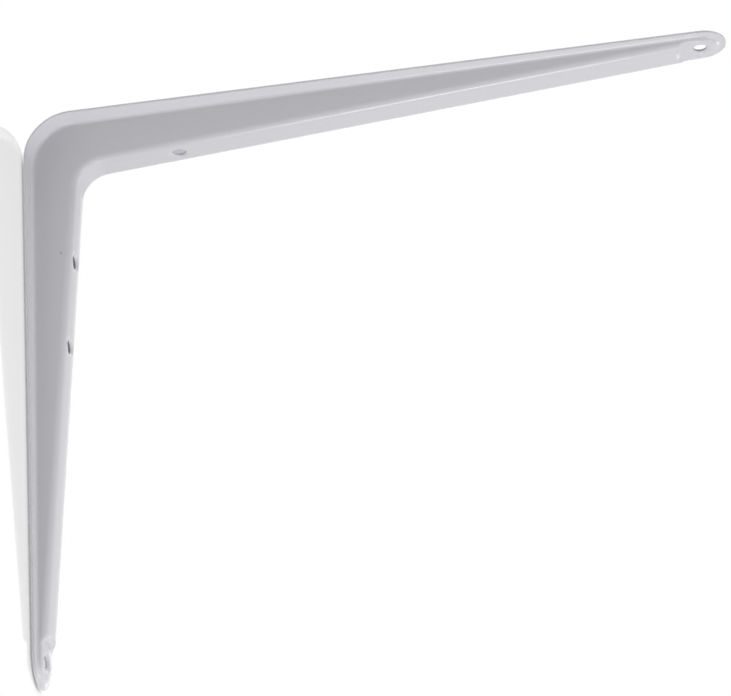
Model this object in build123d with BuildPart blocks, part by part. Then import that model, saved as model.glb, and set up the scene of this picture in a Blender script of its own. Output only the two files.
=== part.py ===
"""Pressed sheet-steel shelf bracket: an L-shaped flange strip with a hollow rib along its middle.

The shelf lies on the plane z = 0 and the wall is the plane x = 0; the two planes meet at the
origin, and the bracket is symmetric about y = 0.
"""

import os
from math import cos, radians, sin, tan

from build123d import *

# Driving sizes in millimetres and degrees
shelf_arm = 300.0  # wall plane to the tip of the shelf arm
wall_arm = 250.0  # shelf plane to the tip of the wall arm
sheet = 0.9  # thickness of the steel
corner_width = 39.2  # flange width at the bend
tip_width = 22.0  # flange width at the tips, which end in half circles
bend_radius = 20.0  # outside of the bend between the arms

rib_depth = 21.3  # mounting plane to crown, carried on to the corner
rib_tip_depth = 3.5  # mounting plane to crown, carried on to the tip
crown_width = 15.2  # across the crown, before its edges are rounded
crown_edge = 3.0  # rounding along the crown's edges
crown_bend = 12.0  # inside bend of the crown between the arms
wall_draft = 7.0  # lean of the rib's side walls
foot_radius = 1.6  # bend between side wall and flange, on the open side
mouth_radius = 1.5  # rounding of the hollow's edge on the mounting side

screw_hole = 5.6  # clear diameter for the screws
dimple_depth = 0.9  # sunk seat round each hole
dimple_slope = 38.0  # slope of the seats
dimple_rim = 2.0  # rounding of the seats' rims, on the outer skin
pad_depth = 2.9  # mounting plane to the flat pad round each tip hole
pad_radius = 9.3  # middle of the tip hole to the foot of the step that leads up to the crown
pad_slope = 60.0  # slope of that step
step_edge = 1.2  # rounding along the top of the step and the edge of the pad, on the outer skin
step_foot = 0.8  # rounding along the foot of the step
shelf_hole = 63.5  # wall plane to the hole in the shelf arm's crown
wall_holes = (62.5, 101.5)  # shelf plane to the holes in the wall arm's crown

# Sizes that follow from them
tip_radius = tip_width / 2
rib_reach = 2 * rib_depth  # the rib forms run on past the mounting planes and are trimmed there


class Arm:
    """One arm: x runs from the corner to the tip, z from the mounting plane to the crown."""

    def __init__(self, plane, length, crown_holes):
        self.plane = plane
        self.length = length
        self.fall = (rib_depth - rib_tip_depth) / length
        self.tip_centre = length - tip_radius
        self.crown_holes = crown_holes
        self.along = (plane.x_dir - plane.z_dir * self.fall).normalized()
        self.back = -(plane.z_dir + plane.x_dir * self.fall).normalized()

    def crown_depth(self, distance):
        return rib_depth - self.fall * distance

    def crown_point(self, distance):
        return self.plane.from_local_coords((distance, 0, self.crown_depth(distance)))

    def section_plane(self, point):
        """Plane across the rib; its y axis points from the crown to the mounting plane."""
        return Plane(origin=point, x_dir=self.back.cross(self.along), z_dir=self.along)


shelf = Arm(Plane((0, 0, 0), x_dir=(1, 0, 0), z_dir=(0, 0, -1)), shelf_arm, (shelf_hole,))
wall = Arm(Plane((0, 0, 0), x_dir=(0, 0, -1), z_dir=(1, 0, 0)), wall_arm, wall_holes)
arms = (shelf, wall)

# The crown's straight runs meet at a corner, which the crown's bend rounds off
crown_corner = shelf.crown_point(rib_depth * (1 - wall.fall) / (1 - shelf.fall * wall.fall))
crown_angle = radians(shelf.along.get_angle(wall.along))
bend_start = crown_bend / tan(crown_angle / 2)
bend_inward = (shelf.along + wall.along).normalized()
bend_centre = crown_corner + bend_inward * (crown_bend / sin(crown_angle / 2))


def rib_section(plane, inset, whole=True):
    """The rib's section, or its half, the given depth below the outer skin."""
    lean = radians(wall_draft)
    half_crown = crown_width / 2 + inset * (tan(lean) - 1 / cos(lean))
    half_foot = half_crown + (rib_reach - inset) * tan(lean)
    with BuildSketch(plane) as section:
        with BuildLine():
            Polyline((0, inset), (half_crown, inset), (half_foot, rib_reach), (0, rib_reach), close=True)
        make_face()
        fillet(section.vertices().sort_by_distance((half_crown, inset))[0], crown_edge - inset)
        if whole:
            mirror(about=Plane.YZ)
    return section.sketch


def pad_space(arm, inset):
    """The space over the flat tip pad: a round bowl whose sloped side is the step up to the crown."""
    slope = radians(pad_slope)
    foot = pad_radius + inset * tan(slope / 2)
    brim = foot + rib_depth / tan(slope)
    centre = arm.plane.from_local_coords((arm.tip_centre, 0, pad_depth - inset))
    with BuildSketch(Plane(centre, x_dir=arm.plane.x_dir, z_dir=-arm.plane.y_dir)) as bowl:
        with BuildLine():
            Polyline((0, 0), (foot, 0), (brim, rib_depth), (0, rib_depth), close=True)
        make_face()
        fillet(bowl.vertices().sort_by_distance((foot, 0))[0], step_foot + inset)
    return revolve(bowl.sketch, Axis(centre, arm.plane.z_dir))


def press_dimple(rib, arm, distance, depth, inset):
    """Sunk seat round a hole, in a face that lies the given depth from the mounting plane."""
    sunk = dimple_depth + inset
    with BuildSketch(arm.plane.offset(depth - sunk)) as dimple:
        with Locations((distance, 0)):
            Circle(screw_hole / 2 + inset * tan(radians(dimple_slope / 2)))
    extrude(dimple.sketch, amount=sunk + dimple_depth, taper=dimple_slope - 90, mode=Mode.SUBTRACT)
    if inset == 0:
        fillet(rib.edges(Select.NEW), dimple_rim)


def rib_form(inset):
    """The rib as a solid whose skin lies the given depth below the outer skin."""
    pad_spaces = [pad_space(arm, inset) for arm in arms]
    with BuildPart() as rib:
        for arm in arms:
            start = arm.section_plane(crown_corner + arm.along * bend_start)
            end = arm.section_plane(arm.crown_point(arm.tip_centre))
            extrude(rib_section(start, inset), amount=(end.origin - start.origin).length)
            revolve(rib_section(end, inset, whole=False), Axis(end.origin, -arm.back), 180)
        start = shelf.section_plane(crown_corner + shelf.along * bend_start)
        turn = shelf.back.get_angle(wall.back)
        revolve(rib_section(start, inset), Axis(bend_centre, (0, -1, 0)), turn)
        for arm, space in zip(arms, pad_spaces):
            add(space, mode=Mode.SUBTRACT)
            if inset == 0:
                fillet(rib.edges(Select.NEW), step_edge)
            for distance in arm.crown_holes:
                press_dimple(rib, arm, distance, arm.crown_depth(distance), inset)
            press_dimple(rib, arm, arm.tip_centre, pad_depth, inset)
    return rib.part


with BuildPart() as front_space:
    with BuildSketch(Plane.XZ) as front_outline:
        Rectangle(shelf_arm, wall_arm, align=(Align.MIN, Align.MAX))
        fillet(front_outline.vertices().sort_by_distance((0, 0))[0], bend_radius)
    extrude(amount=corner_width / 2, both=True)

with BuildPart() as flange:
    with BuildSketch(Plane.XZ):
        with Locations((bend_radius, -bend_radius)):
            Circle(bend_radius)
            Circle(bend_radius - sheet, mode=Mode.SUBTRACT)
        Rectangle(bend_radius, bend_radius, align=(Align.MIN, Align.MAX), mode=Mode.INTERSECT)
    extrude(amount=corner_width / 2, both=True)
    for arm in arms:
        with BuildSketch(arm.plane):
            with BuildLine():
                Line((bend_radius, -corner_width / 2), (bend_radius, corner_width / 2))
                CenterArc((arm.tip_centre, 0), tip_radius, 0, 360)
            make_hull()
        extrude(amount=sheet)

outer_rib = rib_form(0)
hollow = rib_form(sheet)

with BuildPart() as bracket:
    add(front_space.part)
    add(outer_rib, mode=Mode.INTERSECT)
    add(flange.part)
    fillet(bracket.edges(Select.NEW), foot_radius)
    add(hollow, mode=Mode.SUBTRACT)
    fillet(bracket.edges(Select.NEW), mouth_radius)
    for arm in arms:
        with BuildSketch(arm.plane):
            with Locations(*[(distance, 0) for distance in (*arm.crown_holes, arm.tip_centre)]):
                Circle(screw_hole / 2)
        extrude(amount=rib_depth, mode=Mode.SUBTRACT)

bracket.part.label = "shelf_bracket"
os.makedirs("parts", exist_ok=True)
export_step(bracket.part, "parts/shelf_bracket.step")
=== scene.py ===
"""Looks of the shelf bracket: white satin paint on the pressed sheet, in a plain bright studio."""

from math import cos, radians, sin

import bpy
from mathutils import Matrix, Vector

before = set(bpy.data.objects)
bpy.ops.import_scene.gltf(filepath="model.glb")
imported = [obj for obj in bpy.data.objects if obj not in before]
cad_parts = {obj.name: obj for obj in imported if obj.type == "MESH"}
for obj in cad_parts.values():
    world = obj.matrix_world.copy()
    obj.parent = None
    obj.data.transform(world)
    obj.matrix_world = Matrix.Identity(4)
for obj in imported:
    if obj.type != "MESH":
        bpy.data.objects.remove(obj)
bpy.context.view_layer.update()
scene = bpy.context.scene
scene.view_settings.view_transform = "Standard"

# The photograph's view, in metres and degrees
IMAGE_WIDTH = 731  # pixels
FOCAL_PIXELS = 2910.9  # focal length, in pixels of that width
SENSOR_WIDTH = 36  # millimetres
AZIMUTH = 9.815
BELOW = 24.007
ROLL = -3.279
TARGET = Vector((0.13963, 0, -0.11934))
DISTANCE = 1.19578

# Colours of the paint
WHITE = (0.80, 0.80, 0.84, 1)
# Lighter paint on the cut edges and hole rims, as a painted highlight
EDGE_HIGHLIGHT = (0.93, 0.93, 0.95, 1)
WORN = (0.60, 0.60, 0.61, 1)
# Dark of the paint's speck, and of the painted shade inside the screw holes
DARK_SPECK_AND_HOLE_SHADE = (0.16, 0.16, 0.17, 1)

# Texture of the paint: noises as scale per metre and detail, and how strongly each shows
CLOUD = (14.0, 3.0)
GRAIN = (900.0, 1.0)
PEEL = (500.0, 2.0)
CLOUD_TINT = 0.06
GRAIN_TINT = 0.15
PEEL_STRENGTH = 0.2
PEEL_DEPTH = 0.0001
ROUGHNESS = (0.13, 0.18)
PAINT_IOR = 1.5

# Cut edges of the sheet: rounding in metres, and the wear on them
EDGE_ROUNDING = 0.0004
EDGE_SAMPLES = 8
EDGE_TURN = (1.0, 0.96)  # cosine between true and rounded normal, on a face and on an edge
RUBBED_GRAIN = (0.6, 0.75)  # grain at which the wear starts, and is full
RUBBED_TINT = 0.5

# Screw holes: a point on the axis, the two axes across it, and how dark the punched wall is painted
# (painted shade in the hole, with its thinner coat)
HOLES = (
    ((0.0635, 0, 0), (1, 1, 0), 0.25),
    ((0.2890, 0, 0), (1, 1, 0), 0.6),
    ((0, 0, -0.0625), (0, 1, 1), 0.8),
    ((0, 0, -0.1015), (0, 1, 1), 0.8),
    ((0, 0, -0.2390), (0, 1, 1), 0.3),
)
HOLE_REACH = 0.00283

# The wall arm's crown swells across its width: half width, and tilt of the surface per metre
CROWN_HALF_WIDTH = 0.009
CROWN_SWELL = 16.0
CROWN_FACING = (0.8, 1.0)  # share of +X in the normal, where the swell starts and is full

# Speck in the paint of the wall arm: middle and half lengths
SPECK = (0.0128, -0.0081, -0.0612)
SPECK_SIZE = (0.0004, 0.0004, 0.0009)
SPECK_TINT = 0.8

FLOOR_LEVEL = -0.8
FLOOR_SIZE = 60
FLOOR_MOTTLE = (3.0, 2.0)  # scale and detail
FLOOR_GREY = (0.86, 0.9)
FLOOR_ROUGHNESS = 0.8

# Clear sheet in the wall's place: gap behind the bracket, middle in Y and Z, size and gloss
WALL_GAP = 0.0003
WALL_MIDDLE = (-0.045, -0.115)
WALL_HEIGHT = 0.35
WALL_WIDTH = 0.15
WALL_IOR = 1.6
WALL_SHINE = 1.35
WALL_ROUGHNESS = 0.05

# Shade on that sheet along the wall arm; each pair is where it starts and where it is full
SHADE_REACH = 0.006
SHADE_STRENGTH = 0.85
SHADE_OPENNESS = (0.97, 0.86)
SHADE_HEIGHT = (-0.016, -0.024)
SHADE_SIDE = (0.004, -0.006)

# Directions are azimuth from -Y towards +X, and elevation, in degrees
# Soft glows of the studio: azimuth, elevation, brightness and sharpness
GLOWS = (
    (90, 25, 1.50, 8),
    (270, -15, 2.0, 8),
    (315, 25, 2.0, 8),
    (0, 90, 3.0, 8),
    (0, -90, 1.33, 8),
    (60, -35, 1.93, 16),
)
# Square lamps: azimuth, elevation, watts and size
LAMPS = {
    "right_lamp": (85, -40, 4.1, 0.8),
    "low_lamp": (0, -90, 4.2, 0.4),
    "rim_lamp": (135, 0, 1.91, 0.4),
    "back_lamp": (192, 24, 2.0, 1.0),
}
LAMP_DISTANCE = 1.5


def heading(azimuth, elevation):
    """Unit vector from the bracket in the given direction."""
    around, above = radians(azimuth), radians(elevation)
    return Vector((sin(around) * cos(above), -cos(around) * cos(above), sin(above)))


def add_camera():
    """Camera at the photograph's place, below the shelf arm and looking up at the bracket."""
    azimuth, roll = radians(AZIMUTH), radians(ROLL)
    back = heading(AZIMUTH, -BELOW)
    level = Vector((cos(azimuth), sin(azimuth), 0))
    upright = back.cross(level)
    right = cos(roll) * level + sin(roll) * upright
    up = cos(roll) * upright - sin(roll) * level
    data = bpy.data.cameras.new("camera")
    data.sensor_width = SENSOR_WIDTH
    data.lens = FOCAL_PIXELS / IMAGE_WIDTH * SENSOR_WIDTH
    camera = bpy.data.objects.new("camera", data)
    turn = Matrix((right, up, back)).transposed().to_4x4()
    camera.matrix_world = Matrix.Translation(TARGET + back * DISTANCE) @ turn
    scene.collection.objects.link(camera)
    scene.camera = camera


class Nodes:
    """Short way of adding and wiring nodes in a node tree."""

    def __init__(self, tree):
        self.tree = tree
        tree.nodes.clear()

    def add(self, kind, inputs=None, **settings):
        node = self.tree.nodes.new(kind)
        for name, value in settings.items():
            setattr(node, name, value)
        for socket, value in (inputs or {}).items():
            if isinstance(value, bpy.types.NodeSocket):
                self.tree.links.new(value, node.inputs[socket])
            else:
                node.inputs[socket].default_value = value
        return node

    def math(self, operation, *values):
        return self.add("ShaderNodeMath", dict(enumerate(values)), operation=operation).outputs[0]

    def vector(self, operation, *values):
        """Result of a vector operation: a vector, or a number for a length or dot product."""
        node = self.add("ShaderNodeVectorMath", dict(enumerate(values)), operation=operation)
        return node.outputs["Value" if operation in ("LENGTH", "DOT_PRODUCT") else "Vector"]

    def ramp(self, value, start, end, low=0.0, high=1.0):
        """Number that goes from low to high while the value goes from start to end."""
        limits = {"From Min": start, "From Max": end, "To Min": low, "To Max": high}
        return self.add("ShaderNodeMapRange", {"Value": value, **limits}).outputs["Result"]

    def noise(self, where, scale, detail):
        texture = self.add("ShaderNodeTexNoise", {"Vector": where, "Scale": scale, "Detail": detail})
        return texture.outputs["Fac"]


def new_material(name):
    """New material, and its node tree emptied for wiring."""
    material = bpy.data.materials.new(name)
    material.use_nodes = True
    return material, Nodes(material.node_tree)


def hole_wall_shade(nodes, where):
    """How dark the punched walls of the screw holes are painted, as painted shade in the holes along
    with their thinner coat; 0 elsewhere.
    """
    inside = 0.0
    for centre, across, darkness in HOLES:
        offset = nodes.vector("SUBTRACT", where, centre)
        radius = nodes.vector("LENGTH", nodes.vector("MULTIPLY", offset, across))
        wall = nodes.math("LESS_THAN", radius, HOLE_REACH)
        inside = nodes.math("MULTIPLY_ADD", wall, darkness, inside)
    return inside


def speck(nodes, where):
    """1 in the middle of the paint's speck, falling to 0 at its border."""
    offset = nodes.vector("SUBTRACT", where, SPECK)
    radius = nodes.vector("LENGTH", nodes.vector("DIVIDE", offset, SPECK_SIZE))
    return nodes.ramp(radius, 1.0, 0.0)


def swollen(nodes, where, normal):
    """The given normal, tilted outwards across the wall arm's crown."""
    across = nodes.add("ShaderNodeSeparateXYZ", {"Vector": where}).outputs["Y"]
    outward = nodes.add("ShaderNodeSeparateXYZ", {"Vector": normal}).outputs["X"]
    middle = nodes.math("LESS_THAN", nodes.math("ABSOLUTE", across), CROWN_HALF_WIDTH)
    crown = nodes.math("MULTIPLY", nodes.ramp(outward, *CROWN_FACING), middle)
    slope = nodes.math("MULTIPLY", nodes.math("MULTIPLY", across, CROWN_SWELL), crown)
    tilt = nodes.add("ShaderNodeCombineXYZ", {"Y": slope}).outputs["Vector"]
    return nodes.vector("NORMALIZE", nodes.vector("ADD", normal, tilt))


def sharp_edges(nodes, rounded):
    """1 along the sheet's cut edges, 0 on its faces."""
    face = nodes.add("ShaderNodeNewGeometry").outputs["Normal"]
    return nodes.ramp(nodes.vector("DOT_PRODUCT", rounded, face), *EDGE_TURN)


def white_paint():
    """Satin white stove enamel with a faint orange peel, rubbed at the edges and thin in the holes,
    with a painted highlight along the cut edges and painted shade in the holes.
    """
    material, nodes = new_material("white_paint")
    where = nodes.add("ShaderNodeTexCoord").outputs["Object"]
    rounding = nodes.add("ShaderNodeBevel", {"Radius": EDGE_ROUNDING}, samples=EDGE_SAMPLES)
    rounded = rounding.outputs["Normal"]
    cloud = nodes.noise(where, *CLOUD)
    grain = nodes.noise(where, *GRAIN)
    edge = sharp_edges(nodes, rounded)
    rubbed = nodes.math("MULTIPLY", nodes.ramp(grain, *RUBBED_GRAIN), edge)

    tints = (
        (WORN, nodes.math("MULTIPLY", cloud, CLOUD_TINT)),
        (WORN, nodes.math("MULTIPLY", grain, GRAIN_TINT)),
        # Painted highlight along the cut edges and hole rims
        (EDGE_HIGHLIGHT, edge),
        (WORN, nodes.math("MULTIPLY", rubbed, RUBBED_TINT)),
        (DARK_SPECK_AND_HOLE_SHADE, nodes.math("MULTIPLY", speck(nodes, where), SPECK_TINT)),
        # Painted shade inside the screw holes, with the thinner coat on their punched walls
        (DARK_SPECK_AND_HOLE_SHADE, hole_wall_shade(nodes, where)),
    )
    colour = WHITE
    for tint, amount in tints:
        mix = nodes.add("ShaderNodeMix", {"Factor": amount, "A": colour, "B": tint}, data_type="RGBA")
        colour = mix.outputs["Result"]

    bump = nodes.add("ShaderNodeBump", {
        "Height": nodes.noise(where, *PEEL),
        "Normal": swollen(nodes, where, rounded),
        "Strength": PEEL_STRENGTH,
        "Distance": PEEL_DEPTH,
    })
    paint = nodes.add("ShaderNodeBsdfPrincipled", {
        "Base Color": colour,
        "Roughness": nodes.ramp(cloud, 0.0, 1.0, *ROUGHNESS),
        "IOR": PAINT_IOR,
        "Normal": bump.outputs["Normal"],
    })
    nodes.add("ShaderNodeOutputMaterial", {"Surface": paint.outputs["BSDF"]})
    return material


def surround(nodes):
    """Brightness of the studio by direction: the sum of its soft glows."""
    direction = nodes.add("ShaderNodeTexCoord").outputs["Generated"]
    total = 0.0
    for azimuth, elevation, brightness, sharpness in GLOWS:
        facing = nodes.vector("DOT_PRODUCT", direction, heading(azimuth, elevation))
        spread = nodes.math("POWER", nodes.math("MAXIMUM", facing, 0.0), sharpness)
        total = nodes.math("MULTIPLY_ADD", spread, brightness, total)
    return total


def add_lamps():
    """Square lamps round the bracket, all at the same distance and unseen by the camera."""
    for name, (azimuth, elevation, watts, size) in LAMPS.items():
        data = bpy.data.lights.new(name, "AREA")
        data.size = size
        data.energy = watts
        lamp = bpy.data.objects.new(name, data)
        away = heading(azimuth, elevation)
        lamp.location = TARGET + away * LAMP_DISTANCE
        lamp.rotation_euler = away.to_track_quat("Z", "Y").to_euler()
        lamp.visible_camera = False
        scene.collection.objects.link(lamp)


def let_light_pass(stand):
    """Keeps a piece of the stage from blocking, tinting or mirroring the light on the bracket."""
    stand.visible_diffuse = False
    stand.visible_glossy = False
    stand.visible_shadow = False


def add_floor():
    """Pale floor far below the bracket."""
    bpy.ops.mesh.primitive_plane_add(size=FLOOR_SIZE, location=(0, 0, FLOOR_LEVEL))
    floor = bpy.context.object
    floor.name = "floor"
    material, nodes = new_material("floor")
    where = nodes.add("ShaderNodeTexCoord").outputs["Object"]
    grey = nodes.ramp(nodes.noise(where, *FLOOR_MOTTLE), 0.0, 1.0, *FLOOR_GREY)
    face = nodes.add("ShaderNodeBsdfPrincipled", {"Base Color": grey, "Roughness": FLOOR_ROUGHNESS})
    nodes.add("ShaderNodeOutputMaterial", {"Surface": face.outputs["BSDF"]})
    floor.data.materials.append(material)
    let_light_pass(floor)


def wall_light(nodes, position):
    """Light that the sheet lets through: less close to the wall arm, on its -Y side only."""
    openness = nodes.add("ShaderNodeAmbientOcclusion", {"Distance": SHADE_REACH}).outputs["AO"]
    spot = nodes.add("ShaderNodeSeparateXYZ", {"Vector": position}).outputs
    shade = nodes.ramp(openness, *SHADE_OPENNESS, high=SHADE_STRENGTH)
    shade = nodes.math("MULTIPLY", shade, nodes.ramp(spot["Z"], *SHADE_HEIGHT))
    shade = nodes.math("MULTIPLY", shade, nodes.ramp(spot["Y"], *SHADE_SIDE))
    return nodes.math("SUBTRACT", 1.0, shade)


def add_wall():
    """Clear glossy sheet that mirrors the bracket at a flat angle, as the photograph's wall does."""
    place = (-WALL_GAP, *WALL_MIDDLE)
    bpy.ops.mesh.primitive_plane_add(size=1, location=place, rotation=(0, radians(90), 0))
    wall = bpy.context.object
    wall.scale = (WALL_HEIGHT, WALL_WIDTH, 1)
    wall.name = "wall"
    material, nodes = new_material("wall")
    surface = nodes.add("ShaderNodeNewGeometry").outputs
    clear = nodes.add("ShaderNodeBsdfTransparent", {"Color": wall_light(nodes, surface["Position"])})
    gloss = nodes.add("ShaderNodeBsdfGlossy", {"Color": (1, 1, 1, 1), "Roughness": WALL_ROUGHNESS})
    fresnel = nodes.add("ShaderNodeFresnel", {"IOR": WALL_IOR}).outputs["Fac"]
    front = nodes.add("ShaderNodeMixShader", {
        0: nodes.math("MULTIPLY", fresnel, WALL_SHINE),
        1: clear.outputs["BSDF"],
        2: gloss.outputs["BSDF"],
    })
    behind = nodes.add("ShaderNodeBsdfTransparent")
    sides = nodes.add("ShaderNodeMixShader", {
        0: surface["Backfacing"],
        1: front.outputs["Shader"],
        2: behind.outputs["BSDF"],
    })
    nodes.add("ShaderNodeOutputMaterial", {"Surface": sides.outputs["Shader"]})
    wall.data.materials.append(material)
    let_light_pass(wall)


def add_world():
    """Studio that is plain white to the eye and in reflections, and lights with its soft glows."""
    world = bpy.data.worlds.new("studio")
    world.use_nodes = True
    scene.world = world
    nodes = Nodes(world.node_tree)
    path = nodes.add("ShaderNodeLightPath").outputs
    seen = nodes.math("MAXIMUM", path["Is Camera Ray"], path["Is Glossy Ray"])
    seen = nodes.math("MAXIMUM", seen, path["Is Transmission Ray"])
    light = nodes.add("ShaderNodeBackground", {"Color": (1, 1, 1, 1), "Strength": surround(nodes)})
    white = nodes.add("ShaderNodeBackground", {"Color": (1, 1, 1, 1), "Strength": 1.0})
    mix = nodes.add("ShaderNodeMixShader", {
        0: seen,
        1: light.outputs["Background"],
        2: white.outputs["Background"],
    })
    nodes.add("ShaderNodeOutputWorld", {"Surface": mix.outputs["Shader"]})


paint = white_paint()
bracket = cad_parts["shelf_bracket"]
for slot in bracket.material_slots:
    slot.material = paint
add_floor()
add_wall()
add_world()
add_lamps()
add_camera()
